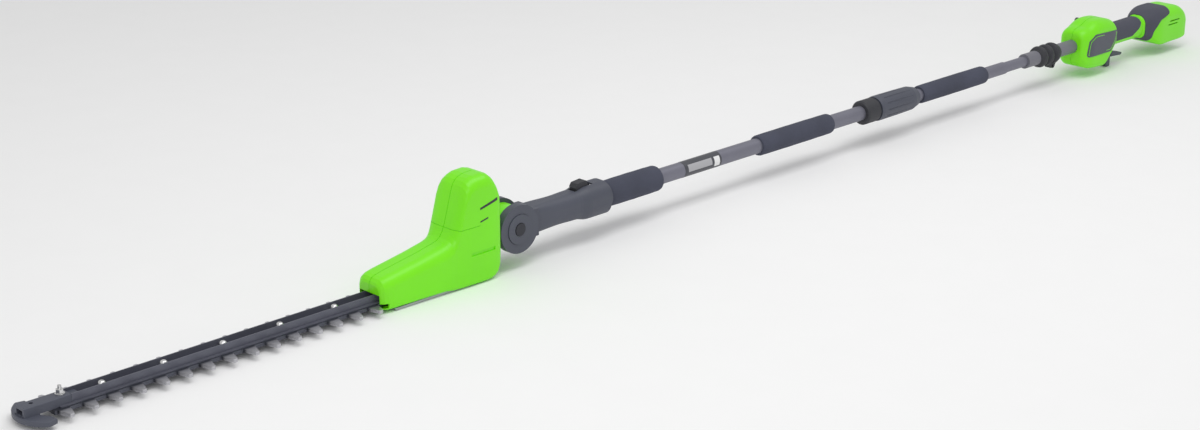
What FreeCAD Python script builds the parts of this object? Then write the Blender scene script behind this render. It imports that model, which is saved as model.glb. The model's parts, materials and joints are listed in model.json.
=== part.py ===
"""Cordless pole hedge trimmer: a double-sided reciprocating blade, a tilting motor head, a two-section
aluminium pole with foam grips and a twist-lock coupling, and a rear handle unit with an empty battery bay.

Frame, in millimetres: +Z up, +X from the blade's tip to the rear handle, origin on the floor under the middle
of the tool.  Lengths along the tool are given as stations, measured from the front of the tip guard.
"""
import FreeCAD
import Part
import math
import os

V = FreeCAD.Vector

# ---- driving dimensions ----------------------------------------------------------------------------------
TOTAL = 2496.0            # tip guard to the rear of the battery bay
AXIS_Z = 58.0             # height of the pole's axis above the floor
TOOTH_PITCH = 33.0
TEETH = 15
FIRST_TOOTH = 52.0        # station of the first tooth
TOOTH_REACH = 36.5        # tooth tip from the blade's centre line
BLADE_HALF = 17.0         # half width of a blade's body
BLADE_THICK = 2.4
LOWER_Z = 7.5             # underside of the lower blade
UPPER_Z = LOWER_Z + BLADE_THICK + 0.1
STROKE = 7.5              # each blade moves this far either way
RAIL_Z = UPPER_Z + BLADE_THICK + 0.1
BOLT_FIRST = 114.5
BOLT_PITCH = 87.5
BOLTS = 5
BOLT_R = 2.4
RAIL_TOP = RAIL_Z + 11.5     # top of the channel
SOCKET_END = 67.0           # rear of the tip guard's socket
SCREW_AT = 58.0
STRAP_AT = 2091.0           # eye for the shoulder strap, under the collar
STRAP_DROP = 23.0
HANG_AT = 19.5              # hole in the tip guard, to hang the tool by
HANG_R = 2.6
HEAD_FRONT = 523.0
TOWER_REAR = 732.0
WALL = 2.6
CRANK_AT = 662.0
MOTOR_AT = 690.0
GEAR_MODULE = 1.0
PINION_TEETH = 10
GEAR_TEETH = 46
PIVOT_AT = 769.0          # tilt axis of the head
KNUCKLE_R = 35.0
HUB_HALF = 14.0           # half width of the head's hub between the fork's cheeks
FORK_HALF = 26.5
FRONT_TUBE_R = 12.0
REAR_TUBE_R = 10.7
NECK_TUBE_R = 9.2
TUBE_WALL = 1.2
POD_FRONT = 2156.0        # front of the rear handle unit
POD_REAR = 2263.0
GAP = 0.3
CASE_LIFT = 4.0           # gear case and motor, above the height they are drawn at

PARTS = {}


# ---- helpers ---------------------------------------------------------------------------------------------
def at(station):
    """X of a station."""
    return station - TOTAL / 2


def box(s0, s1, y0, y1, z0, z1):
    return Part.makeBox(s1 - s0, y1 - y0, z1 - z0, V(at(s0), y0, z0))


def rod_x(s0, s1, r, y=0.0, z=AXIS_Z):
    return Part.makeCylinder(r, s1 - s0, V(at(s0), y, z), V(1, 0, 0))


def rod_y(s, z, r, y0, y1):
    return Part.makeCylinder(r, y1 - y0, V(at(s), y0, z), V(0, 1, 0))


def rod_z(s, y, r, z0, z1):
    return Part.makeCylinder(r, z1 - z0, V(at(s), y, z0), V(0, 0, 1))


def pipe_x(s0, s1, r_out, r_in):
    return rod_x(s0, s1, r_out).cut(rod_x(s0 - 1, s1 + 1, r_in))


def hexagon(s, y, across, z0, z1):
    r = across / math.sqrt(3)
    corners = [V(at(s) + r * math.cos(math.radians(60 * k)), y + r * math.sin(math.radians(60 * k)), z0)
               for k in range(7)]
    return Part.Face(Part.makePolygon(corners)).extrude(V(0, 0, z1 - z0))


def rounded(points, radii, place):
    """A closed wire through 2-D points with each corner rounded to its own radius; place turns (u, v) to 3-D."""
    count = len(points)
    edges, ends = [], []
    for k in range(count):
        p = V(*points[k], 0)
        before = (V(*points[k - 1], 0) - p)
        after = (V(*points[(k + 1) % count], 0) - p)
        r = radii[k] if isinstance(radii, (list, tuple)) else radii
        if r <= 0:
            ends.append((p, p, None))
            continue
        half = before.getAngle(after) / 2
        reach = r / math.tan(half)
        before.normalize()
        after.normalize()
        middle = (before + after).normalize()
        top = p + middle * (r / math.sin(half) - r)
        ends.append((p + before * reach, p + after * reach, top))
    for k in range(count):
        start, stop, top = ends[k]
        if top is not None:
            edges.append(Part.Arc(place(start), place(top), place(stop)).toShape())
        following = ends[(k + 1) % count][0]
        if (following - stop).Length > 1e-6:
            edges.append(Part.LineSegment(place(stop), place(following)).toShape())
    return Part.Wire(edges)


def side_profile(points, radii, half):
    """An outline of (station, z) points, extruded to both sides."""
    wire = rounded(points, radii, lambda p: V(at(p.x), -half, p.y))
    return Part.Face(wire).extrude(V(0, 2 * half, 0))


def plan_profile(points, radii, z0, z1):
    """An outline of (station, y) points, extruded upwards."""
    wire = rounded(points, radii, lambda p: V(at(p.x), p.y, z0))
    return Part.Face(wire).extrude(V(0, 0, z1 - z0))


def end_profile(points, radii, s0, s1):
    """An outline of (y, z) points, extruded along the tool."""
    wire = rounded(points, radii, lambda p: V(at(s0), p.x, p.y))
    return Part.Face(wire).extrude(V(s1 - s0, 0, 0))


def section(s, half_y, z0, z1, r, r_low=None):
    """A rounded rectangle across the tool, for a loft; its lower corners may have their own radius."""
    low = r if r_low is None else r_low
    corners = [(-half_y, z0), (half_y, z0), (half_y, z1), (-half_y, z1)]
    return rounded(corners, [low, low, r, r], lambda p: V(at(s), p.x, p.y))


def eased(sections, steps=4):
    """More sections in between, with an S-shaped change from each to the next."""
    made = [tuple(sections[0])]
    for a, b in zip(sections, sections[1:]):
        level = all(abs(p - q) < 0.3 for p, q in zip(a[1:], b[1:]))
        for k in range(1, steps + 1) if not level else [steps]:
            f = k / steps
            e = f * f * (3 - 2 * f)
            made.append((a[0] + (b[0] - a[0]) * f, *[p + (q - p) * e for p, q in zip(a[1:], b[1:])]))
    return made


def loft(sections):
    return Part.makeLoft([section(*s) for s in eased(sections)], True, True)


def hull(sections, inset, straight=False):
    """A form through many sections, moved inwards by inset, square to the slope of its top."""
    made, last = [], len(sections) - 1
    for k, (s, half, z0, z1, r, r_low) in enumerate(sections):
        a, b = sections[max(k - 1, 0)], sections[min(k + 1, last)]
        rise, run = b[3] - a[3], b[0] - a[0]
        size = math.hypot(rise, run)
        shift = inset * rise / size if 0 < k < last else (inset if k == 0 else -inset)
        down = inset * run / size if 0 < k < last else inset
        item = (s + shift, half - inset, z0 + inset, z1 - down, max(r - inset, 1.5), max(r_low - inset, 1.5))
        if not made or item[0] > made[-1][0] + 0.8:
            made.append(item)
    return Part.makeLoft([section(*s) for s in made], True, straight)


def side_room(side, s0, s1, z0, z1):
    """A box on one side of the tool, clear of its middle."""
    return box(s0, s1, min(15 * side, 60 * side), max(15 * side, 60 * side), z0, z1)


def tube_loft(sections, inset):
    """The loft's inner body, a wall thickness inside it and open at both ends."""
    inner = [[s, h - inset, z0 + inset, z1 - inset, max(r - inset, 1.0)] for s, h, z0, z1, r in sections]
    inner[0][0] -= 1
    inner[-1][0] += 1
    return loft(inner)


def join(*shapes):
    made = shapes[0]
    for shape in shapes[1:]:
        made = made.fuse(shape)
    return made.removeSplitter()


def cut(shape, *tools):
    for tool in tools:
        shape = shape.cut(tool)
    return shape


def left_half(shape):
    return shape.common(box(-50, TOTAL + 50, -200, -0.05, -10, 300))


def right_half(shape):
    return shape.common(box(-50, TOTAL + 50, 0.05, 200, -10, 300))


def turned_profile(points, y=0.0, z=AXIS_Z):
    """A body of revolution about the pole's axis from (station, radius) points."""
    corners = [V(at(s), y, z + r) for s, r in points]
    return Part.Face(Part.makePolygon(corners + corners[:1])).revolve(V(0, y, z), V(1, 0, 0), 360)


def lift(shape):
    return shape.translated(V(0, 0, CASE_LIFT))


def save(name, shape):
    PARTS[name] = shape
    shape.exportStep("parts/" + name + ".step")


# ---- cutting blades, rail and tip guard ------------------------------------------------------------------
def tooth(s, side):
    base, tip = 8.6, 2.6
    outline = [(s - base, side * (BLADE_HALF - 1)), (s - tip, side * TOOTH_REACH),
               (s + tip, side * TOOTH_REACH), (s + base, side * (BLADE_HALF - 1))]
    if side < 0:
        outline.reverse()
    return outline


def blade(z, tail):
    """One blade: a slotted strip with teeth on both sides and a yoke window for the crank pin at its tail."""
    plate = box(FIRST_TOOTH - 12, tail, -BLADE_HALF, BLADE_HALF, z, z + BLADE_THICK)
    teeth = [plan_profile(tooth(FIRST_TOOTH + k * TOOTH_PITCH, side), [0, 2.0, 2.0, 0], z, z + BLADE_THICK)
             for k in range(TEETH) for side in (-1, 1)]
    shape = plate.multiFuse(teeth).removeSplitter()
    slot_half = STROKE + BOLT_R + 0.8
    for k in range(BOLTS + 1):
        s = BOLT_FIRST + k * BOLT_PITCH
        slot = plan_profile([(s - slot_half, -BOLT_R - 0.5), (s + slot_half, -BOLT_R - 0.5),
                             (s + slot_half, BOLT_R + 0.5), (s - slot_half, BOLT_R + 0.5)],
                            BOLT_R + 0.4, z - 1, z + 4)
        shape = shape.cut(slot)
    window_x, window_y = 19.6, 12.2
    window = box(CRANK_AT - window_x, CRANK_AT + window_x, -window_y, window_y, z - 1, z + 4)
    return shape.cut(window)


def rail():
    """Open channel that stiffens the blades, with a flange either side."""
    flange = box(50, 626, -15, 15, RAIL_Z, RAIL_Z + 1.6)
    channel = box(SOCKET_END + 0.4, 562, -10, 10, RAIL_Z, RAIL_TOP)
    channel = cut(channel, box(50, 630, -8.7, 8.7, RAIL_Z + 1.6, RAIL_TOP + 5))
    holes = [rod_z(BOLT_FIRST + k * BOLT_PITCH, 0, BOLT_R, 0, 30) for k in range(BOLTS + 1)]
    return cut(join(flange, channel), *holes, rod_z(SCREW_AT, 0, BOLT_R, 0, 30))


def rail_bolts():
    shapes = []
    for k in range(BOLTS + 1):
        s = BOLT_FIRST + k * BOLT_PITCH
        shank = rod_z(s, 0, BOLT_R, LOWER_Z - 2.5, RAIL_Z + 8.0)
        shapes.append(shank.fuse(rod_z(s, 0, 5.0, LOWER_Z - 2.5, LOWER_Z - 0.1)).removeSplitter())
    return Part.makeCompound(shapes)


def rail_nuts():
    """Domed nuts on a washer inside the channel."""
    shapes = []
    for k in range(BOLTS + 1):
        s = BOLT_FIRST + k * BOLT_PITCH
        dome = rod_z(s, 0, 5.2, RAIL_Z + 5.6, RAIL_Z + 11.6)
        dome = dome.makeFillet(4.6, [e for e in dome.Edges if abs(e.BoundBox.ZMin - RAIL_Z - 11.6) < 0.01
                                     and e.BoundBox.ZLength < 0.01])
        washer = rod_z(s, 0, 7.4, RAIL_Z + 1.6, RAIL_Z + 2.2)
        nut = join(hexagon(s, 0, 10.0, RAIL_Z + 2.2, RAIL_Z + 6.0), washer, dome)
        shapes.append(nut.cut(rod_z(s, 0, BOLT_R, 0, RAIL_Z + 8.0)))
    return Part.makeCompound(shapes)


def tip_guard():
    """Bumper at the blade's tip: a crescent plate with a raised socket that holds the rail's end."""
    z0, z1 = LOWER_Z - 1.5, LOWER_Z + 5.0
    front = Part.Arc(V(at(20), -39, z0), V(at(0), 0, z0), V(at(20), 39, z0)).toShape()
    back = [(20, 39), (32, 36), (31, 25), (24, 14), (24, -14), (31, -25), (32, -36), (20, -39)]
    edges = [front] + [Part.LineSegment(V(at(a), b, z0), V(at(c), d, z0)).toShape()
                       for (a, b), (c, d) in zip(back, back[1:])]
    plate = Part.Face(Part.Wire(edges)).extrude(V(0, 0, z1 - z0))
    rim = [e for e in plate.Edges if e.BoundBox.ZLength < 0.01 and e.BoundBox.ZMin > z1 - 0.1]
    plate = plate.makeFillet(1.6, rim)
    socket = end_profile([(-12, z0 + 2), (12, z0 + 2), (9.5, RAIL_TOP), (-9.5, RAIL_TOP)], [0, 0, 2.5, 2.5],
                         4, SOCKET_END)
    socket = cut(socket, box(24.2, 49.8, -14, 14, 0, RAIL_Z + 0.2), box(49.8, 80, -14, 14, 0, RAIL_Z + 1.6))
    tongue = box(SOCKET_END - 2, SOCKET_END + 14, -8.5, 8.5, RAIL_Z + 1.6, RAIL_TOP - 3.5)
    eye = box(0, 15, -6.5, 6.5, z1 + 1.5, RAIL_TOP - 3.5)
    holes = [rod_z(HANG_AT, 0, HANG_R, 0, 40), rod_z(SCREW_AT, 0, BOLT_R, 0, 40)]
    return cut(join(plate, socket, tongue), eye, *holes, box(24.2, 34, -14, 14, 0, RAIL_Z + 0.2))


def tip_screw():
    shank = rod_z(SCREW_AT, 0, BOLT_R, RAIL_Z, RAIL_TOP + 11)
    return join(shank, rod_z(SCREW_AT, 0, 6.2, RAIL_TOP, RAIL_TOP + 1.2),
                hexagon(SCREW_AT, 0, 8.6, RAIL_TOP + 1.2, RAIL_TOP + 6.2))


# ---- head: shells, gear case, motor ----------------------------------------------------------------------
HEAD = [(523, 20, 8, 37, 10, 4), (524.5, 22.5, 5.5, 40.5, 12, 4), (528, 25.5, 4, 44.5, 13, 5),
        (534, 27.5, 3.5, 46.8, 14, 5), (HEAD_FRONT + 21, 28.5, 3.5, 49, 15, 5), (600, 29.8, 3.5, 58.5, 17, 5),
        (632, 30.6, 3.2, 65, 18, 5), (640, 31, 2.0, 67.3, 18, 5), (646, 31, 1.2, 71, 18, 5),
        (651, 31, 0.8, 78, 18, 5), (655, 31.2, 0.8, 88, 18, 5), (659, 31.4, 0.8, 101, 18, 5),
        (668, 31.7, 0.8, 132, 18, 5), (671.5, 31.8, 0.8, 140.5, 18, 5), (676, 32, 0.8, 146, 18, 5),
        (682, 32, 0.8, 149.5, 18, 5), (690, 32, 0.8, 151.8, 17, 5), (706, 32, 0.8, 152.5, 17, 5),
        (714, 31.8, 1.2, 150.5, 17, 6), (720, 31.4, 3, 145.5, 16, 7), (725, 30.8, 6, 138, 16, 8),
        (729, 29.5, 11, 129, 15, 10), (TOWER_REAR, 27, 18, 119, 14, 12)]


def head_body(inset):
    return hull(HEAD, inset, straight=True)


def head_shell():
    shell = head_body(0).cut(head_body(WALL))
    room = head_body(0.2)
    case_rib = box(CRANK_AT - 5, CRANK_AT + 5, -40, 40, 30, 48).common(room)
    case_rib = case_rib.cut(rod_z(CRANK_AT, 0, 27.5, 20, 60))
    motor_rib = box(MOTOR_AT - 5, MOTOR_AT + 5, -40, 40, 74, 110).common(room)
    motor_rib = motor_rib.cut(rod_z(MOTOR_AT, 0, 21.0, 20, 140))
    shell = join(shell, case_rib, motor_rib, *bosses(HEAD_SCREWS, room))
    sweep = box(HEAD_FRONT - 1, HEAD_FRONT + 11, -45, 45, LOWER_Z - 0.8, UPPER_Z + BLADE_THICK + 0.8)
    mouth = box(HEAD_FRONT - 5, HEAD_FRONT + 14, -20.5, 20.5, LOWER_Z - 2.9, RAIL_TOP + 0.7)
    floor = box(HEAD_FRONT + 22, CRANK_AT + 34, -27, 27, -1, 4.5)
    deep = head_body(1.7)
    vents = [side_room(side, TOWER_REAR - 56, TOWER_REAR - 13, 43, 48).cut(deep) for side in (-1, 1)]
    seams = [box(515, TOWER_REAR + 9, -0.45, 0.45, 26, 200), box(640, 692, -60, 60, 83.5, 84.4)]
    seams = [line.cut(head_body(0.8)) for line in seams]
    back = box(TOWER_REAR - 8, TOWER_REAR + 8, -HUB_HALF, HUB_HALF, AXIS_Z - 17, AXIS_Z + 17)
    last_bolt = BOLT_FIRST + BOLTS * BOLT_PITCH
    bolt_room = box(last_bolt - 6, last_bolt + 6, -6.5, 6.5, 4.0, LOWER_Z + 1)
    return cut(shell, mouth, sweep, floor, back, bolt_room, *vents, *seams)


def tilt_hub():
    """Drum that the head turns on, with a web and a flange inside the head."""
    drum = rod_y(PIVOT_AT, AXIS_Z, 29.0, -HUB_HALF, HUB_HALF)
    web = box(TOWER_REAR - 10, PIVOT_AT, -HUB_HALF + 0.1, HUB_HALF - 0.1, AXIS_Z - 16.9, AXIS_Z + 16.9)
    flange = box(TOWER_REAR - 11, TOWER_REAR - 5.2, -24, 24, AXIS_Z - 26, AXIS_Z + 26)
    bore = rod_y(PIVOT_AT, AXIS_Z, 5.05, -20, 20)
    return cut(join(drum, web, flange), bore)


def gear_case():
    """Cast case over the blades' tails, carrying the crank bearing and the motor."""
    outer = box(566, 710, -23, 23, 17.6, 36.0)
    outer = outer.fuse(rod_z(CRANK_AT, 0, 27.5, 24.0, 42.0)).fuse(rod_z(MOTOR_AT, 0, 20, 24.0, 47.0))
    pocket = rod_z(CRANK_AT, 0, 25.0, 26.0, 38.5).fuse(rod_z(MOTOR_AT, 0, 8.0, 26.0, 60.0))
    crank_room = rod_z(CRANK_AT, 0, 15.0, 10.0, 30.0)
    bearing_seat = rod_z(CRANK_AT, 0, 8.0, 38.0, 60.0)
    return cut(outer.removeSplitter(), pocket, crank_room, bearing_seat)


def gear_wheel(teeth, s, z0, z1, turn):
    """A spur wheel with straight-flanked teeth and running backlash."""
    pitch_r = teeth * GEAR_MODULE / 2
    root, tip = pitch_r - 1.15 * GEAR_MODULE, pitch_r + 0.75 * GEAR_MODULE
    step = 2 * math.pi / teeth
    root_half, tip_half = 0.22 * step, 0.10 * step
    corners = []
    for k in range(teeth):
        middle = turn + k * step
        for r, off in ((root, -root_half), (tip, -tip_half), (tip, tip_half), (root, root_half)):
            corners.append(V(at(s) + r * math.cos(middle + off), r * math.sin(middle + off), z0))
    return Part.Face(Part.makePolygon(corners + corners[:1])).extrude(V(0, 0, z1 - z0))


def crank():
    """Crank disc under the gear wheel with a pin for each blade, half a turn apart."""
    disc = rod_z(CRANK_AT, 0, 13.0, 19.5, 25.8)
    shaft = rod_z(CRANK_AT, 0, 4.0, 25.8, 45.0)
    pins = [rod_z(CRANK_AT + side * STROKE, 0, 4.0, 3.8, 19.5) for side in (-1, 1)]
    return join(disc, shaft, *pins)


def motor_can():
    can = rod_z(MOTOR_AT, 0, 21.0, 47.0, 110.0).cut(rod_z(MOTOR_AT, 0, 18.8, 50.5, 119.0))
    return can.cut(rod_z(MOTOR_AT, 0, 6.0, 40.0, 52.0))


def motor_magnets():
    ring = rod_z(MOTOR_AT, 0, 18.8, 58.0, 98.0).cut(rod_z(MOTOR_AT, 0, 15.6, 50.0, 110.0))
    gaps = [box(MOTOR_AT - 30, MOTOR_AT + 30, -3, 3, 50, 110)]
    return cut(ring, *gaps)


def rotor():
    core = rod_z(MOTOR_AT, 0, 14.8, 62.0, 94.0)
    slots = []
    for k in range(6):
        angle = math.radians(60 * k)
        slots.append(rod_z(MOTOR_AT + 13 * math.cos(angle), 13 * math.sin(angle), 2.6, 60.0, 100.0))
    shaft = rod_z(MOTOR_AT, 0, 1.9, 27.0, 120.0)
    return cut(core.fuse(rod_z(MOTOR_AT, 0, 7.0, 97.0, 105.0)), *slots).fuse(shaft).removeSplitter()


def motor_end_cap():
    cap = rod_z(MOTOR_AT, 0, 21.0, 110.0, 113.0).fuse(rod_z(MOTOR_AT, 0, 8.0, 113.0, 121.0))
    return cap.cut(rod_z(MOTOR_AT, 0, 1.95, 110.0, 140.0)).removeSplitter()


def bottom_plate():
    plate = plan_profile([(HEAD_FRONT + 22.4, -26.6), (CRANK_AT + 33.6, -26.6), (CRANK_AT + 33.6, 26.6),
                          (HEAD_FRONT + 22.4, 26.6)], 3.0, 0.0, 3.4)
    return plate


# ---- tilt fork and front handle --------------------------------------------------------------------------
HANDLE = [(810, 18, 38, 78, 9), (856, 19.5, 38, 78, 15), (892, 20.5, 37, 79, 16), (912, 25, 33, 83, 21),
          (950, 25, 33, 83, 21)]


def fork_cheek(side):
    """One cheek of the fork, joined to its half of the front handle."""
    inner, outer = side * (HUB_HALF + GAP), side * FORK_HALF
    y0, y1 = min(inner, outer), max(inner, outer)
    disc = rod_y(PIVOT_AT, AXIS_Z, KNUCKLE_R, y0, y1)
    arm_y = (side * (HUB_HALF + GAP), side * 21)
    arm = box(PIVOT_AT, 810, min(arm_y), max(arm_y), AXIS_Z - 20, AXIS_Z + 20)
    bore = rod_y(PIVOT_AT, AXIS_Z, 5.05, -60, 60)
    recess = rod_y(PIVOT_AT, AXIS_Z, 22.0, side * (FORK_HALF - 3.0) if side > 0 else -FORK_HALF - 1,
                   FORK_HALF + 1 if side > 0 else -(FORK_HALF - 3.0))
    bridge_all = cut(box(803.5, 810, -21, 21, AXIS_Z - 20, AXIS_Z + 20), rod_x(790, 830, 9.0))
    bridge = left_half(bridge_all) if side < 0 else right_half(bridge_all)
    return cut(join(disc, arm, bridge), bore, recess)


def cheek_cap(side):
    y0, y1 = (FORK_HALF - 3.0, FORK_HALF + 1.2) if side > 0 else (-FORK_HALF - 1.2, -FORK_HALF + 3.0)
    cap = rod_y(PIVOT_AT, AXIS_Z, 21.6, y0, y1)
    return cap.cut(rod_y(PIVOT_AT, AXIS_Z, 9.6, -60, 60))


def pivot_bolt():
    seat = FORK_HALF - 3.0
    shank = rod_y(PIVOT_AT, AXIS_Z, 5.0, -seat, seat + 5.5)
    return shank.fuse(rod_y(PIVOT_AT, AXIS_Z, 9.0, -seat - 5.0, -seat)).removeSplitter()


def pivot_nut():
    r = 15.0 / math.sqrt(3)
    turns = [math.radians(60 * k) for k in range(7)]
    corners = [V(at(PIVOT_AT) + r * math.cos(a), FORK_HALF - 3.0, AXIS_Z + r * math.sin(a)) for a in turns]
    nut = Part.Face(Part.makePolygon(corners)).extrude(V(0, 5.0, 0))
    return nut.cut(rod_y(PIVOT_AT, AXIS_Z, 5.0, 20, 40))


def handle_shell():
    sections = [list(s) for s in HANDLE]
    sections[0][0] = 810.1
    outer = loft(sections)
    inner = tube_loft(sections, 2.4)
    window = box(893, 929, -7.3, 7.3, AXIS_Z + 10, AXIS_Z + 30)
    return cut(outer.cut(inner), window)


def handle_plug():
    """Moulded core that clamps the front tube inside the handle, with a pocket for the tilt release."""
    core = loft([(814, 15, 43, 73, 8), (950, 15, 43, 73, 8)])
    return cut(core, rod_x(805, 951, FRONT_TUBE_R), box(880, 945, -10, 10, AXIS_Z + 12.3, AXIS_Z + 40))


def tilt_release():
    """Slider on top of the front handle that frees the head's tilt."""
    base = box(884, 934, -9.0, 9.0, AXIS_Z + 12.9, AXIS_Z + 17.2)
    neck = box(897, 917, -6.8, 6.8, AXIS_Z + 17.2, AXIS_Z + 27)
    top = AXIS_Z + 25
    outline = [(895, top), (899, top + 6), (917, top + 7.5), (919, top + 2), (919, top)]
    pad = side_profile(outline, [0, 2, 2, 0, 0], 6.8)
    return join(base, neck, pad)


# ---- pole ------------------------------------------------------------------------------------------------
def foam(s0, s1, r_out, r_in):
    """Foam sleeve with rounded ends."""
    e = 3.0
    return turned_profile([(s0, r_in), (s0, r_out - e), (s0 + e / 2, r_out - 0.8), (s0 + e, r_out),
                           (s1 - e, r_out), (s1 - e / 2, r_out - 0.8), (s1, r_out - e), (s1, r_in)])


def coupling_base():
    """Threaded sleeve fixed to the end of the front tube."""
    return turned_profile([(1547, FRONT_TUBE_R), (1547, 17.5), (1550, 20.0), (1577, 20.0), (1581, 18.0), (1581, 15.2),
                           (1624, 15.2), (1624, FRONT_TUBE_R)])


def coupling_collar():
    """Twist-lock collar that closes on the rear tube."""
    body = turned_profile([(1581.4, 15.5), (1581.4, 20.2), (1587, 21.0), (1640, 20.6), (1672, 20.0), (1686, 16.6),
                           (1690, 14.0), (1690, REAR_TUBE_R + GAP), (1628, REAR_TUBE_R + GAP), (1628, 15.5)])
    grooves = []
    for k in range(12):
        angle = math.radians(30 * k)
        grooves.append(rod_x(1596, 1664, 1.6, 21.4 * math.cos(angle), AXIS_Z + 21.4 * math.sin(angle)))
    return cut(body, *grooves)


def strap_collar():
    """Ribbed clamp for the shoulder strap."""
    outline = [(2042, NECK_TUBE_R), (2042, 13.6)]
    for k in range(3):
        s = 2045 + 19.5 * k
        outline += [(s, 14.2), (s + 2.5, 18.0), (s + 7, 19.2), (s + 11.5, 18.0), (s + 14, 14.6)]
    outline += [(2104, 13.6), (2104, NECK_TUBE_R)]
    lug = side_profile([(2074, AXIS_Z - 12), (2082, AXIS_Z - 25), (2096, AXIS_Z - 28), (2103, AXIS_Z - 12)],
                       [0, 3, 5, 0], 5.0)
    lug = lug.cut(rod_x(2000, 2140, 12.0))
    return cut(join(turned_profile(outline), lug), rod_y(STRAP_AT, AXIS_Z - STRAP_DROP, 2.4, -10, 10))


# ---- rear handle unit ------------------------------------------------------------------------------------
POD = [(POD_FRONT, 18, 33, 80, 12, 10), (2158, 23, 28, 85, 16, 12), (2164, 27.5, 22, 88.5, 18, 12),
       (2174, 30, 18, 91, 20, 12), (2184, 31, 16, 94, 20, 11), (2194, 31, 15.2, 98.5, 20, 10),
       (2204, 31, 14.6, 101, 20, 10), (2216, 31, 14.2, 101.5, 20, 10), (2224, 31, 14.6, 101, 20, 9),
       (2230, 31, 18, 100.5, 20, 9), (2238, 31, 27, 99, 20, 8), (2247, 30.8, 37, 96.5, 19, 8),
       (2255, 30, 45, 92, 18, 8), (2260, 28.5, 52, 86, 15, 8), (POD_REAR, 26, 56, 80, 10, 8)]
GRIP = [(2248, 17.5, 38, 77, 15), (2300, 17.0, 38, 77, 15), (2374, 17.5, 38, 77, 15)]
BAY = [(2366, 17.6, 37.5, 77.5, 15, 14), (2370, 19, 36.5, 79, 16, 13), (2378, 23.5, 33.5, 82.5, 18, 12),
       (2388, 28, 29, 85.5, 20, 10), (2400, 31.5, 23.5, 87.3, 20, 8), (2412, 33, 19.8, 88, 20, 6),
       (2430, 33, 19, 88, 20, 6), (2466, 33, 19.5, 86.5, 19, 6), (2480, 33, 20, 83, 18, 5),
       (2489, 32.4, 20.6, 77.5, 16, 5), (TOTAL, 31.4, 22, 66, 13, 5)]
UNIT_SCREWS = ((POD_FRONT + 22, 33), (POD_FRONT + 26, 82), (POD_REAR - 46, 24), (2440, 78))
HEAD_SCREWS = ((553, 33), (640, 55), (695, 141), (715, 17))
POST_AT = 2272.0          # post under the front of the handle bar, which carries the trigger
TRIGGER_Z = 21.0
BUTTON_AT = 2214.0          # lock-off button, above the badge on the far side
BUTTON_Z = 89.5


def pod_body(inset):
    return hull(POD, inset)


def bay_body(inset):
    return hull(BAY, inset)


BAY_BOX = (2411.0, TOTAL + 6, -26.0, 26.0, 5.0, 52.0)     # room for the battery pack, open behind and below


def bosses(places, body):
    """Screw bosses across a clamshell."""
    return [rod_y(s, z, 4.2, -40, 40).common(body) for s, z in places]


def shell_screws(places):
    """Screws that close a clamshell, their heads sunk in the bosses."""
    return [join(rod_y(s, z, 1.6, -10, 20), rod_y(s, z, 3.0, 20, 22)) for s, z in places]


def screw_wells(places):
    return [rod_y(s, z, 3.1, 22, 60) for s, z in places]


def terminal_blades():
    return [box(BAY_BOX[0] - 9, BAY_BOX[0] + 9, y - 0.4, y + 0.4, 38, 46) for y in (-9, -3, 3, 9)]


def unit_outer():
    return join(pod_body(0), loft(GRIP), bay_body(0))


def rear_shell():
    grip_room = [list(s) for s in GRIP]
    shell = cut(unit_outer(), pod_body(WALL), tube_loft(grip_room, WALL), bay_body(WALL))
    bay0, top = BAY_BOX[0], BAY_BOX[5]
    room = bay_body(0.2)
    deck = box(bay0 - 2.5, TOTAL - 5, -31.5, 31.5, top, top + 2.5).common(room)
    front_wall = box(bay0 - 2.5, bay0, -31.5, 31.5, 15.0, top + 2.5).common(room)
    liners = [box(bay0, TOTAL - 5, side * 27 - 1, side * 27 + 1, 15.0, top).common(room) for side in (-1, 1)]
    clamp_rib = box(POD_FRONT + 24, POD_FRONT + 34, -40, 40, 0, 120).common(pod_body(0.2))
    clamp_rib = clamp_rib.cut(box(POD_FRONT, POD_REAR, -14, 14, AXIS_Z - 14, AXIS_Z + 14))
    switch_rib = box(POD_REAR - 34, POD_REAR - 18, -40, 40, 62, 64.5).common(pod_body(0.2))
    board_rib = box(2310, 2314, -16, 16, 39, 46).common(loft(GRIP))
    shell = join(shell, deck, front_wall, clamp_rib, switch_rib, board_rib, *liners)
    shell = join(shell, *bosses(UNIT_SCREWS, unit_outer()))
    entry = rod_x(POD_FRONT - 10, POD_FRONT + 20, 12.5)
    button = rod_y(BUTTON_AT, BUTTON_Z, 7.3, 12, 60)
    vents = [side_room(side, 2437 - 5 * k, 2470 - 6 * k, 60 - 6.5 * k, 62.2 - 6.5 * k)
             for side in (-1, 1) for k in range(2)]
    seam = box(POD_FRONT - 2, POD_REAR, -0.4, 0.4, 0, 120).cut(pod_body(0.8))
    return cut(shell, box(*BAY_BOX), entry, button, post_outline(), badge(-1), badge(1), seam, *vents,
               *terminal_blades())


def badge(side):
    """Plate let into the pod's side, following its surface."""
    points = [(POD_FRONT + 8, 40), (POD_REAR - 24, 40), (POD_REAR - 8, 57), (POD_REAR - 3, 77), (POD_FRONT + 30, 80),
              (POD_FRONT + 13, 70)]
    slab = side_profile(points, [6, 6, 4, 4, 5, 5], 60).common(side_room(side, 2000, 2400, 0, 120))
    return slab.common(pod_body(-0.6)).cut(pod_body(1.1))


def soft_grip():
    """Rubber overmould on the top and sides of the handle bar."""
    fat = [(s, h + 1.4, z0 - 1.4, z1 + 1.4, r + 1.2) for s, h, z0, z1, r in GRIP]
    outline = [(POD_REAR + 0.5, 49), (2330, 49), (2352, 60), (2360, 70), (2360, 110), (POD_REAR + 0.5, 110)]
    cover = loft(fat).common(side_profile(outline, [0, 10, 8, 0, 0, 0], 60))
    return cover.cut(unit_outer())


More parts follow.
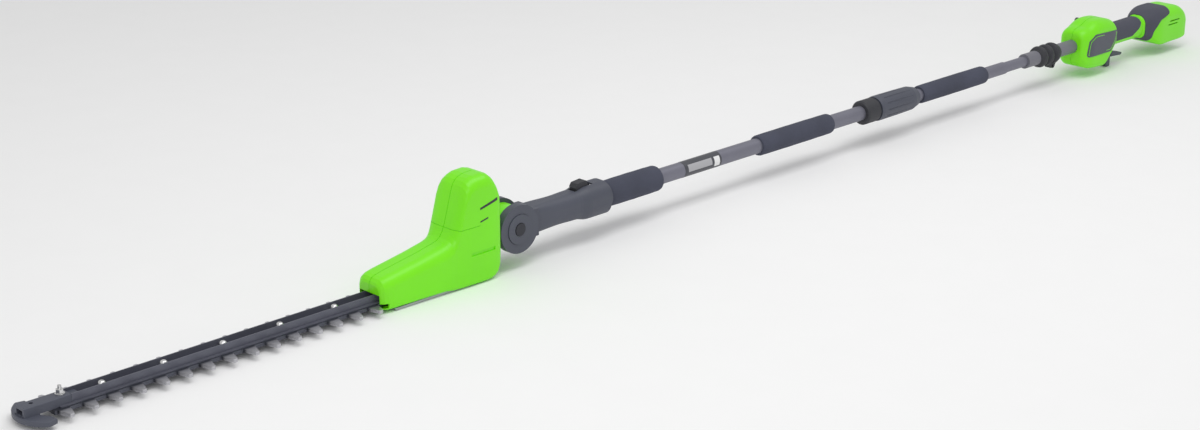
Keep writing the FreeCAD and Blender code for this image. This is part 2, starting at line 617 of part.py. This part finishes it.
def rear_saddle():
    """Rubber saddle over the front of the battery bulge."""
    outline = [(2371, 120), (2438, 120), (2436, 78), (2404, 70), (2388, 50), (2380, 26), (2371, 26)]
    return bay_body(-1.4).common(side_profile(outline, [0, 0, 8, 10, 6, 0, 0], 60)).cut(unit_outer())


def neck_ferrule():
    return pipe_x(2104.3, POD_FRONT + 16, 12.4, NECK_TUBE_R)


def tube_clamp():
    """Block inside the pod that grips the end of the neck tube."""
    block = box(POD_FRONT + 16.5, POD_FRONT + 42, -14, 14, AXIS_Z - 14, AXIS_Z + 14)
    return block.cut(rod_x(POD_FRONT, POD_FRONT + 60, NECK_TUBE_R))


def trigger():
    """Finger lever, hinged at the post and squeezed up towards the handle bar."""
    z = TRIGGER_Z
    outline = [(POST_AT, z - 4), (POST_AT + 44, z - 7), (POST_AT + 49, z - 3), (POST_AT + 20, z + 4), (POST_AT, z + 4)]
    lever = side_profile(outline, [0, 3, 2, 3, 0], 5.4)
    eye_room = [box(POST_AT - 20, POST_AT + 11, side * 8 - 5, side * 8 + 5, 0, 40) for side in (-1, 1)]
    eye = rod_y(POST_AT, z, 4.2, -3, 3)
    return cut(join(lever.cut(eye_room[0]).cut(eye_room[1]), eye), rod_y(POST_AT, z, 1.65, -10, 10))


def trigger_pin():
    return rod_y(POST_AT, TRIGGER_Z, 1.6, -6.5, 6.5)


def post_outline():
    return side_profile([(POST_AT - 6, 0), (POST_AT + 6, 0), (POST_AT + 7, 42), (POST_AT - 8, 42)],
                        [2, 2, 0, 0], 6.5)


def trigger_post():
    """Post that the tool stands on, slotted for the trigger."""
    slot = box(POST_AT - 20, POST_AT + 20, -3.3, 3.3, TRIGGER_Z - 9, TRIGGER_Z + 9)
    return cut(post_outline(), slot, trigger_pin())


def lock_button():
    """Lock-off button in the far side of the pod."""
    stem = rod_y(BUTTON_AT, BUTTON_Z, 7.0, 17, 31)
    return join(stem, rod_y(BUTTON_AT, BUTTON_Z, 8.2, 14.5, 17))


def switch_block():
    return box(POD_REAR - 34, POD_REAR - 18, -9, 9, 44, 62)


def control_board():
    return box(2286, 2352, -11, 11, 46, 47.6)


def terminal_block():
    block = box(BAY_BOX[0] - 12, BAY_BOX[0] - 2.5, -14, 14, 34, 50)
    return cut(block, *terminal_blades())


def battery_rails():
    return [box(BAY_BOX[0] + 6, TOTAL - 9, y0, y0 + 3.2, 30, 33) for y0 in (-26.0, 22.8)]


# ---- build -----------------------------------------------------------------------------------------------
def build():
    os.makedirs("parts", exist_ok=True)
    save("blade_lower", blade(LOWER_Z, CRANK_AT + 27))
    save("blade_upper", blade(UPPER_Z, CRANK_AT + 27))
    save("rail", rail())
    save("rail_bolts", rail_bolts())
    save("rail_nuts", rail_nuts())
    save("tip_guard", tip_guard())
    save("tip_screw", tip_screw())

    screws = shell_screws(HEAD_SCREWS)
    shell = head_shell()
    save("head_shell_left", cut(left_half(shell), *screws))
    save("head_shell_right", cut(right_half(shell), *screws, *screw_wells(HEAD_SCREWS)))
    save("head_screws", Part.makeCompound(screws))
    save("gear_case", lift(gear_case()))
    save("crank_bearing", lift(rod_z(CRANK_AT, 0, 8.0, 38.5, 42.0).cut(rod_z(CRANK_AT, 0, 4.05, 30, 50))))
    save("crank", lift(crank()))
    turn = math.pi / PINION_TEETH
    save("gear_wheel", lift(gear_wheel(GEAR_TEETH, CRANK_AT, 27.0, 33.0, 0.0).cut(rod_z(CRANK_AT, 0, 4.0, 20, 50))))
    save("pinion", lift(gear_wheel(PINION_TEETH, MOTOR_AT, 27.0, 34.0, turn).cut(rod_z(MOTOR_AT, 0, 1.9, 20, 50))))
    save("rotor", lift(rotor()))
    save("motor_can", lift(motor_can()))
    save("motor_magnets", lift(motor_magnets()))
    save("motor_end_cap", lift(motor_end_cap()))
    save("bottom_plate", bottom_plate())
    save("tilt_hub", tilt_hub())

    handle = handle_shell()
    save("fork_left", fork_cheek(-1))
    save("fork_right", fork_cheek(1))
    save("cheek_caps", Part.makeCompound([cheek_cap(-1), cheek_cap(1)]))
    save("pivot_bolt", pivot_bolt())
    save("pivot_nut", pivot_nut())
    save("handle_shell_left", left_half(handle))
    save("handle_shell_right", right_half(handle))
    save("handle_plug", handle_plug())
    save("tilt_release", tilt_release())
    save("grip_ferrule", pipe_x(950.3, 957, 21.0, FRONT_TUBE_R))
    save("front_tube", pipe_x(818, 1600, FRONT_TUBE_R, FRONT_TUBE_R - TUBE_WALL))
    save("front_grip", foam(957.5, 1066, 20.0, FRONT_TUBE_R))
    save("middle_grip", foam(1293, 1465, 16.8, FRONT_TUBE_R))
    save("coupling_base", coupling_base())
    save("coupling_collar", coupling_collar())

    save("rear_tube", pipe_x(1520, 1944, REAR_TUBE_R, REAR_TUBE_R - TUBE_WALL))
    save("rear_grip", foam(1702, 1882, 15.8, REAR_TUBE_R))
    save("neck_tube", pipe_x(1860, POD_FRONT + 42, NECK_TUBE_R, NECK_TUBE_R - TUBE_WALL))
    save("strap_sleeve", pipe_x(2007, 2041.7, 13.0, NECK_TUBE_R))
    save("strap_collar", strap_collar())
    save("neck_ferrule", neck_ferrule())
    save("tube_clamp", tube_clamp())

    screws = shell_screws(UNIT_SCREWS)
    shell = rear_shell()
    save("rear_shell_left", cut(left_half(shell), *screws))
    save("rear_shell_right", cut(right_half(shell), *screws, *screw_wells(UNIT_SCREWS)))
    save("rear_screws", Part.makeCompound(screws))
    save("soft_grip", soft_grip())
    save("rear_saddle", rear_saddle())
    save("badges", Part.makeCompound([badge(-1), badge(1)]))
    save("trigger", trigger())
    save("trigger_pin", trigger_pin())
    save("trigger_post", trigger_post())
    save("lock_button", lock_button())
    save("switch_block", switch_block())
    save("control_board", control_board())
    save("terminal_block", terminal_block())
    save("terminal_blades", Part.makeCompound(terminal_blades()))
    save("battery_rails", Part.makeCompound(battery_rails()))
    for name in sorted(PARTS):
        shape = PARTS[name]
        bounds = shape.BoundBox
        print(f"{name:20s} solids {len(shape.Solids):2d} valid {shape.isValid()} volume {shape.Volume:10.0f}"
              f" z {bounds.ZMin:6.1f} {bounds.ZMax:6.1f} x {bounds.XMin:7.1f} {bounds.XMax:7.1f}")


build()
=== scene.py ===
# %% [markdown]
# A cordless pole hedge trimmer lies on a pale studio floor. Its metal and moulded parts come from the
# measured model. This lesson adds the camera, the light, the finishes, and the pieces that are
# easier to shape here: foam sleeves, a printed label, lime outlines and printed bars.

# %% Load the measured model
import bpy
import json
import math
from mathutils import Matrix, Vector


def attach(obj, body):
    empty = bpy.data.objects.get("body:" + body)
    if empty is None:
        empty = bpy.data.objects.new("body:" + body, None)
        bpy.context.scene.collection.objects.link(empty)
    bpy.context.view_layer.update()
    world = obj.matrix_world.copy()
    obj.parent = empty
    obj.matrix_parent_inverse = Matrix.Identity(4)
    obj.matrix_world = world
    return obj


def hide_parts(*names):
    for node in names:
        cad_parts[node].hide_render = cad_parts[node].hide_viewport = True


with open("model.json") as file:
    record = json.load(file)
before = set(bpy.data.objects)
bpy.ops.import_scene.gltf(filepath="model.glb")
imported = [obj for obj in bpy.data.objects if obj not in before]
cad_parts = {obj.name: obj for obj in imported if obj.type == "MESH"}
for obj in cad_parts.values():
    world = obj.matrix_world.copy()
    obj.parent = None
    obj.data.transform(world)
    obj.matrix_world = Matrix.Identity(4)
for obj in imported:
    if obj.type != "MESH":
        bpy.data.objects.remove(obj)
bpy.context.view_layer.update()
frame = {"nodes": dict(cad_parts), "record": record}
nodes = frame["nodes"]
slot_of = {s["node"]: s["material_slot"] for s in frame["record"]["subparts"]}

# %% [markdown]
# Lengths along the tool are easiest to read as distances from the front of the tip guard, in
# millimetres. This helper turns such a distance into a place in the scene.

# %% Places along the tool
HALF_LENGTH = 1248.0
AXIS = 0.058


def at(station):
    return (station - HALF_LENGTH) / 1000.0


print("pivot of the head at", at(769))

# %% [markdown]
# A long lens set low and far off keeps the pole nearly straight, with the blade coming towards the
# viewer on the left. A short lens would have bent the proportions of so long a tool.

# %% Camera
camera_data = bpy.data.cameras.new("studio_camera")
camera = bpy.data.objects.new("studio_camera", camera_data)
bpy.context.scene.collection.objects.link(camera)
camera_data.sensor_width = 36.0
camera_data.lens = 64.66
camera_data.clip_end = 60.0
camera.location = (-2.3736, -2.096, 1.0512)
camera.rotation_euler = (math.pi / 2 - 0.3338, 0.0, -0.7807)
bpy.context.scene.camera = camera
print("lens", camera_data.lens)

# %% [markdown]
# Catalogue light is soft and comes from all round, with one large panel above. A bright world gives
# the fill, and two area lamps give the plastic its long highlights.

# %% Studio floor and light
bpy.ops.object.select_all(action="DESELECT")
bpy.ops.mesh.primitive_plane_add(size=40, location=(0, 0, -0.0006))
floor = bpy.context.object
floor.name = "studio_floor"
bpy.context.scene.view_settings.view_transform = "Standard"
world = bpy.context.scene.world or bpy.data.worlds.new("studio_world")
bpy.context.scene.world = world
world.use_nodes = True
world.node_tree.nodes["Background"].inputs["Color"].default_value = (1, 1, 1, 1)
world.node_tree.nodes["Background"].inputs["Strength"].default_value = 0.62


def panel(name, place, aim, size, power):
    data = bpy.data.lights.new(name, "AREA")
    data.shape = "RECTANGLE"
    data.size, data.size_y = size
    data.energy = power
    lamp = bpy.data.objects.new(name, data)
    bpy.context.scene.collection.objects.link(lamp)
    lamp.location = place
    lamp.rotation_euler = (Vector(aim) - lamp.location).to_track_quat("-Z", "Y").to_euler()
    print(name, power)


panel("top_panel", (0.0, -0.6, 2.6), (0, 0, 0), (3.6, 1.2), 30)
panel("left_panel", (-2.6, -1.6, 1.6), (-0.4, 0, 0.1), (1.2, 1.2), 9)

# %% [markdown]
# Every finish starts the same way: a shader, the object's own coordinates, and noise that breaks up
# the gloss. Moulded plastic has a fine spark-eroded grain, so a small bump goes with it.

# %% Helper for a finish
def finish(name, colour, rough, metal=0.0, grain=0.0, scale=900.0, vary=0.06, spread=0.08):
    made = bpy.data.materials.new(name)
    made.use_nodes = True
    tree = made.node_tree
    shader = tree.nodes["Principled BSDF"]
    shader.inputs["Metallic"].default_value = metal
    place = tree.nodes.new("ShaderNodeTexCoord")
    patches = tree.nodes.new("ShaderNodeTexNoise")
    patches.inputs["Scale"].default_value = 14.0
    patches.inputs["Detail"].default_value = 4.0
    tree.links.new(place.outputs["Object"], patches.inputs["Vector"])
    tint = tree.nodes.new("ShaderNodeValToRGB")
    tint.color_ramp.elements[0].position = 0.3
    tint.color_ramp.elements[1].position = 0.7
    tint.color_ramp.elements[0].color = (*[c * (1 - vary) for c in colour], 1)
    tint.color_ramp.elements[1].color = (*[min(1.0, c * (1 + vary)) for c in colour], 1)
    tree.links.new(patches.outputs["Fac"], tint.inputs["Fac"])
    tree.links.new(tint.outputs["Color"], shader.inputs["Base Color"])
    gloss = tree.nodes.new("ShaderNodeMapRange")
    gloss.inputs["To Min"].default_value = rough - spread
    gloss.inputs["To Max"].default_value = rough + spread
    tree.links.new(patches.outputs["Fac"], gloss.inputs["Value"])
    tree.links.new(gloss.outputs["Result"], shader.inputs["Roughness"])
    if grain > 0:
        fine = tree.nodes.new("ShaderNodeTexNoise")
        fine.inputs["Scale"].default_value = scale
        fine.inputs["Detail"].default_value = 3.0
        bump = tree.nodes.new("ShaderNodeBump")
        bump.inputs["Strength"].default_value = grain
        bump.inputs["Distance"].default_value = 0.0003
        tree.links.new(place.outputs["Object"], fine.inputs["Vector"])
        tree.links.new(fine.outputs["Fac"], bump.inputs["Height"])
        tree.links.new(bump.outputs["Normal"], shader.inputs["Normal"])
    return made, tree, shader, place, tint


# %% [markdown]
# The finishes are named for what they cover. The lime housing is glossier than the slate handles,
# and the rubber and foam have almost no gloss at all.

# %% Finishes for the slots
FINISHES = {
    "green_plastic": finish("green_plastic", (0.2, 0.84, 0.0), 0.36, grain=0.10, scale=1400, vary=0.03),
    "dark_plastic": finish("dark_plastic", (0.072, 0.078, 0.105), 0.48, grain=0.22, scale=1100),
    "black_plastic": finish("black_plastic", (0.03, 0.031, 0.038), 0.55, grain=0.2, scale=1000),
    "grey_plastic": finish("grey_plastic", (0.17, 0.17, 0.2), 0.42, grain=0.15, scale=1000),
    "soft_rubber": finish("soft_rubber", (0.07, 0.073, 0.1), 0.72, grain=0.35, scale=1500, vary=0.1),
    "foam": finish("foam", (0.062, 0.067, 0.098), 0.92, grain=0.9, scale=1800, vary=0.16),
    "tube_alloy": finish("tube_alloy", (0.19, 0.19, 0.235), 0.42, metal=0.35, grain=0.05, scale=700),
    "rail_paint": finish("rail_paint", (0.13, 0.135, 0.17), 0.4, metal=0.3, grain=0.12, scale=800),
    "fastener_steel": finish("fastener_steel", (0.72, 0.72, 0.72), 0.26, metal=1.0, grain=0.05, scale=900),
    "black_steel": finish("black_steel", (0.05, 0.051, 0.06), 0.38, metal=0.7, grain=0.08, scale=900),
    "cast_alloy": finish("cast_alloy", (0.42, 0.43, 0.46), 0.5, metal=0.8, grain=0.5, scale=500, vary=0.1),
    "motor_steel": finish("motor_steel", (0.4, 0.41, 0.44), 0.33, metal=0.9, grain=0.06, scale=600),
    "magnet": finish("magnet", (0.05, 0.05, 0.055), 0.6, metal=0.2, grain=0.3, scale=700),
    "badge_plastic": finish("badge_plastic", (0.072, 0.078, 0.105), 0.35, grain=0.15, scale=1300),
    "board": finish("board", (0.02, 0.16, 0.07), 0.3, grain=0.1, scale=900),
    "contact_brass": finish("contact_brass", (0.83, 0.6, 0.24), 0.25, metal=1.0, grain=0.05, scale=900),
}
print("finishes", len(FINISHES))

# %% [markdown]
# A trimmer's teeth are ground on their cutting edges, so the tips are bright and the body of the
# blade keeps a darker oiled skin. The distance from the centre line tells the two apart.

# %% Ground blade steel
blade_finish, tree, shader, place, tint = finish("blade_steel", (0.5, 0.5, 0.53), 0.34, metal=0.85,
                                                 grain=0.12, scale=700)
apart = tree.nodes.new("ShaderNodeSeparateXYZ")
tree.links.new(place.outputs["Object"], apart.inputs["Vector"])
reach = tree.nodes.new("ShaderNodeMath")
reach.operation = "ABSOLUTE"
tree.links.new(apart.outputs["Y"], reach.inputs[0])
ground = tree.nodes.new("ShaderNodeMapRange")
ground.inputs["From Min"].default_value = 0.0185
ground.inputs["From Max"].default_value = 0.0225
tree.links.new(reach.outputs["Value"], ground.inputs["Value"])
skin = tree.nodes.new("ShaderNodeMix")
skin.data_type = "RGBA"
skin.inputs["A"].default_value = (0.105, 0.11, 0.135, 1)
tree.links.new(ground.outputs["Result"], skin.inputs["Factor"])
tree.links.new(tint.outputs["Color"], skin.inputs["B"])
tree.links.new(skin.outputs["Result"], shader.inputs["Base Color"])
FINISHES["blade_steel"] = (blade_finish, tree, shader, place, tint)
print("blade finish ready")

# %% [markdown]
# Each measured part takes the finish of its slot.

# %% Hand the finishes out
for name, node in nodes.items():
    node.data.materials.clear()
    node.data.materials.append(FINISHES[slot_of[name]][0])
print("finished", len(nodes), "nodes")

# %% [markdown]
# The floor is matt and almost white, so the tool's contact shadow stays faint.

# %% Floor finish
floor_finish = finish("studio_paper", (0.93, 0.93, 0.93), 0.9, grain=0.02, scale=60, vary=0.004, spread=0.02)
floor.data.materials.append(floor_finish[0])

# %% [markdown]
# Shaping by hand means selecting by place. These two helpers start a piece clean and pick the points
# that pass a test, so that the next tool acts only on them.

# %% Helpers for shaping
def start_clean():
    if bpy.context.object and bpy.context.object.mode != "OBJECT":
        bpy.ops.object.mode_set(mode="OBJECT")
    bpy.ops.object.select_all(action="DESELECT")


def pick(piece, test):
    bpy.ops.object.mode_set(mode="EDIT")
    bpy.ops.mesh.select_all(action="DESELECT")
    bpy.ops.mesh.select_mode(type="VERT")
    bpy.ops.object.mode_set(mode="OBJECT")
    for point in piece.data.vertices:
        point.select = test(point.co)
    bpy.ops.object.mode_set(mode="EDIT")


def settle(piece, name, slot, body, angle=40):
    bpy.ops.object.mode_set(mode="OBJECT")
    piece.name = name
    piece.data.name = name
    bpy.ops.object.select_all(action="DESELECT")
    piece.select_set(True)
    bpy.context.view_layer.objects.active = piece
    bpy.ops.object.transform_apply(location=True, rotation=True, scale=True)
    bpy.ops.object.mode_set(mode="EDIT")
    bpy.ops.mesh.select_all(action="SELECT")
    bpy.ops.mesh.normals_make_consistent(inside=False)
    bpy.ops.object.mode_set(mode="OBJECT")
    bpy.ops.object.shade_smooth_by_angle(angle=math.radians(angle))
    if slot:
        piece.data.materials.clear()
        piece.data.materials.append(FINISHES[slot][0])
    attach(piece, body)
    print(name, "faces", len(piece.data.polygons))
    return piece


# %% [markdown]
# A foam sleeve is cut from extruded tube and pushed over the pole. It is slack at the ends, where the
# edge rolls in, and very slightly fuller in the middle. A cylinder cut into rings gives rings of points to
# draw in or let out one by one.

# %% Foam sleeves
def foam_sleeve(name, first, last, radius, bore):
    start_clean()
    middle, length = (first + last) / 2, (last - first) / 1000
    bpy.ops.mesh.primitive_cylinder_add(vertices=96, radius=radius - 0.0006, depth=length, end_fill_type="NOTHING",
                                        location=(at(middle), 0, AXIS), rotation=(0, math.pi / 2, 0))
    sleeve = bpy.context.object
    bpy.ops.object.transform_apply(location=True, rotation=True, scale=True)
    rings = [first + 1.2, first + 3.5, first + 9] + [first + (last - first) * k / 10 for k in range(1, 10)]
    rings += [last - 9, last - 3.5, last - 1.2]
    for ring in rings:
        pick(sleeve, lambda co: True)
        bpy.ops.mesh.bisect(plane_co=(at(ring), 0, AXIS), plane_no=(1, 0, 0))
    for ring, gain in [(first, 0.90), (first + 1.2, 0.965), (last - 1.2, 0.965), (last, 0.90)]:
        pick(sleeve, lambda co: abs(co.x - at(ring)) < 1e-4)
        bpy.ops.transform.resize(value=(1, gain, gain), center_override=(at(ring), 0, AXIS))
    for k in range(1, 10):
        ring = first + (last - first) * k / 10
        gain = 1 + 0.018 * math.sin(math.pi * k / 10) + 0.006 * math.sin(2.3 * k + first)
        pick(sleeve, lambda co: abs(co.x - at(ring)) < 1e-4)
        bpy.ops.transform.resize(value=(1, gain, gain), center_override=(at(ring), 0, AXIS))
    for end in (first, last):
        pick(sleeve, lambda co: abs(co.x - at(end)) < 1e-4)
        shrink = (bore + 0.0001) / (0.90 * (radius - 0.0006))
        bpy.ops.mesh.extrude_region_move()
        bpy.ops.transform.resize(value=(1, shrink, shrink), center_override=(at(end), 0, AXIS))
    return settle(sleeve, name, "foam", "pole", 50)


for node, name, first, last, radius, bore in (
        ("front_grip", "front_foam", 957.5, 1066, 0.0200, 0.0120),
        ("middle_grip", "middle_foam", 1293, 1465, 0.0168, 0.0120),
        ("rear_grip", "rear_foam", 1702, 1882, 0.0158, 0.0107)):
    sleeve = foam_sleeve(name, first, last, radius, bore)
    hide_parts(node)

# %% [markdown]
# The badge on each side has a thin lime outline just inside its edge. A sheet of the badge's shape
# is inset twice, only the narrow band is kept, and the band is pressed on to the badge.

# %% Lime outlines on the badges
BADGE = [(2164, 0.040), (2239, 0.040), (2255, 0.057), (2260, 0.077), (2186, 0.080), (2169, 0.070)]


def keep_band(sheet, kept):
    bpy.ops.object.mode_set(mode="OBJECT")
    for face in sheet.data.polygons:
        face.select = not kept(face)
    bpy.ops.object.mode_set(mode="EDIT")
    bpy.ops.mesh.select_mode(type="FACE")
    bpy.ops.mesh.delete(type="FACE")


def press_on(sheet, target, thick, lift, side):
    bpy.ops.object.mode_set(mode="OBJECT")
    wrap = sheet.modifiers.new("wrap", "SHRINKWRAP")
    wrap.target = nodes[target]
    wrap.wrap_method = "PROJECT"
    wrap.use_project_y = True
    wrap.use_positive_direction = side < 0
    wrap.use_negative_direction = side > 0
    wrap.offset = lift
    bpy.ops.object.modifier_apply(modifier="wrap")
    print("pressed to", round(min(abs(v.co.y) for v in sheet.data.vertices), 4),
          round(max(abs(v.co.y) for v in sheet.data.vertices), 4))
    skin = sheet.modifiers.new("skin", "SOLIDIFY")
    skin.thickness = thick
    skin.offset = 0
    bpy.ops.object.modifier_apply(modifier="skin")


def badge_outline(side, name):
    start_clean()
    y = side * 0.040
    bpy.ops.mesh.primitive_circle_add(vertices=len(BADGE), radius=0.02, fill_type="NGON", location=(at(2210), y, 0.06),
                                      rotation=(math.pi / 2, 0, 0))
    sheet = bpy.context.object
    bpy.ops.object.transform_apply(location=True, rotation=True, scale=True)
    corners = sorted(BADGE, key=lambda c: math.atan2(c[1] - 0.06, at(c[0]) - at(2210)))
    order = sorted(range(len(BADGE)), key=lambda k: math.atan2(sheet.data.vertices[k].co.z - 0.06,
                                                      sheet.data.vertices[k].co.x - at(2210)))
    for k, (station, z) in zip(order, corners):
        here = sheet.data.vertices[k].co.copy()
        pick(sheet, lambda co: (co - here).length < 1e-6)
        bpy.ops.transform.translate(value=(at(station) - here.x, 0, z - here.z))
    pick(sheet, lambda co: True)
    bpy.ops.mesh.bevel(offset=0.005, segments=5, affect="VERTICES")
    bpy.ops.mesh.select_mode(type="FACE")
    bpy.ops.mesh.select_all(action="SELECT")
    bpy.ops.mesh.inset(thickness=0.0036)
    bpy.ops.mesh.inset(thickness=0.0009)
    bpy.ops.object.mode_set(mode="OBJECT")
    centre = max(sheet.data.polygons, key=lambda f: f.area)
    ring = {tuple(sorted(key)) for key in centre.edge_keys}
    keep_band(sheet, lambda f: f.index != centre.index and any(tuple(sorted(e)) in ring for e in f.edge_keys))
    press_on(sheet, "badges", 0.0004, 0.0001, side)
    return settle(sheet, name, "green_plastic", "pole", 30)


for side, name in ((-1, "badge_outline_left"), (1, "badge_outline_right")):
    badge_outline(side, name)

# %% [markdown]
# A printed label wraps part of the front tube. The label is a thin curved skin, so it is cut from a
# cylinder a hair wider than the tube. It carries plain blocks of light and dark and no words.

# %% Tube label
label_finish, tree, shader, place, tint = finish("tube_label", (0.06, 0.062, 0.075), 0.35, grain=0.05)
apart = tree.nodes.new("ShaderNodeSeparateXYZ")
tree.links.new(place.outputs["Object"], apart.inputs["Vector"])


def inside(value, low, high):
    over = tree.nodes.new("ShaderNodeMath")
    over.operation = "GREATER_THAN"
    over.inputs[1].default_value = low
    under = tree.nodes.new("ShaderNodeMath")
    under.operation = "LESS_THAN"
    under.inputs[1].default_value = high
    both = tree.nodes.new("ShaderNodeMath")
    both.operation = "MULTIPLY"
    tree.links.new(value, over.inputs[0])
    tree.links.new(value, under.inputs[0])
    tree.links.new(over.outputs[0], both.inputs[0])
    tree.links.new(under.outputs[0], both.inputs[1])
    return both.outputs[0]


light_block = tree.nodes.new("ShaderNodeMath")
light_block.operation = "MULTIPLY"
tree.links.new(inside(apart.outputs["X"], at(1126), at(1178)), light_block.inputs[0])
tree.links.new(inside(apart.outputs["Z"], AXIS - 0.002, AXIS + 0.0085), light_block.inputs[1])
white_block = tree.nodes.new("ShaderNodeMath")
white_block.operation = "MULTIPLY"
tree.links.new(inside(apart.outputs["X"], at(1183), at(1195)), white_block.inputs[0])
tree.links.new(inside(apart.outputs["Z"], AXIS - 0.006, AXIS + 0.0085), white_block.inputs[1])
grey = tree.nodes.new("ShaderNodeMix")
grey.data_type = "RGBA"
grey.inputs["B"].default_value = (0.42, 0.42, 0.44, 1)
tree.links.new(light_block.outputs[0], grey.inputs["Factor"])
tree.links.new(tint.outputs["Color"], grey.inputs["A"])
white = tree.nodes.new("ShaderNodeMix")
white.data_type = "RGBA"
white.inputs["B"].default_value = (0.85, 0.85, 0.85, 1)
tree.links.new(white_block.outputs[0], white.inputs["Factor"])
tree.links.new(grey.outputs["Result"], white.inputs["A"])
tree.links.new(white.outputs["Result"], shader.inputs["Base Color"])

start_clean()
bpy.ops.mesh.primitive_cylinder_add(vertices=96, radius=0.0122, depth=0.08, end_fill_type="NOTHING",
                                    location=(at(1159), 0, AXIS), rotation=(0, math.pi / 2, 0))
label = bpy.context.object
bpy.ops.object.transform_apply(location=True, rotation=True, scale=True)
pick(label, lambda co: co.y > 0.004)
bpy.ops.mesh.delete(type="VERT")
pick(label, lambda co: True)
bpy.ops.mesh.bisect(plane_co=(at(1180), 0, AXIS), plane_no=(1, 0, 0))
bpy.ops.object.mode_set(mode="OBJECT")
thick = label.modifiers.new("thick", "SOLIDIFY")
thick.thickness = 0.00015
thick.offset = -1
bpy.ops.object.modifier_apply(modifier="thick")
label.data.materials.append(label_finish)
settle(label, "tube_label", None, "pole", 30)

# %% [markdown]
# Two dark slanted bars decorate each side of the motor head. They are printed film, so they are thin sheets
# pressed on to the shell.

# %% Bars on the head
def head_bar(side, name, target, corners):
    start_clean()
    bpy.ops.mesh.primitive_plane_add(size=0.02, location=(at(690), side * 0.05, 0.1), rotation=(math.pi / 2, 0, 0))
    sheet = bpy.context.object
    bpy.ops.object.transform_apply(location=True, rotation=True, scale=True)
    spots = [point.co.copy() for point in sheet.data.vertices]
    spots.sort(key=lambda co: (round(co.z, 4), round(co.x, 4)))
    for here, (station, z) in zip(spots, corners):
        pick(sheet, lambda co: (co - here).length < 1e-6)
        bpy.ops.transform.translate(value=(at(station) - here.x, 0, z - here.z))
    pick(sheet, lambda co: True)
    bpy.ops.mesh.subdivide(number_cuts=6)
    press_on(sheet, target, 0.0003, 0.0001, side)
    return settle(sheet, name, "black_plastic", "head", 30)


for side, name, target in ((-1, "left", "head_shell_left"), (1, "right", "head_shell_right")):
    head_bar(side, f"head_bar_upper_{name}", target, [(692, 0.106), (724, 0.113), (692, 0.109), (724, 0.117)])
    head_bar(side, f"head_bar_lower_{name}", target, [(692, 0.088), (706, 0.091), (692, 0.090), (706, 0.093)])
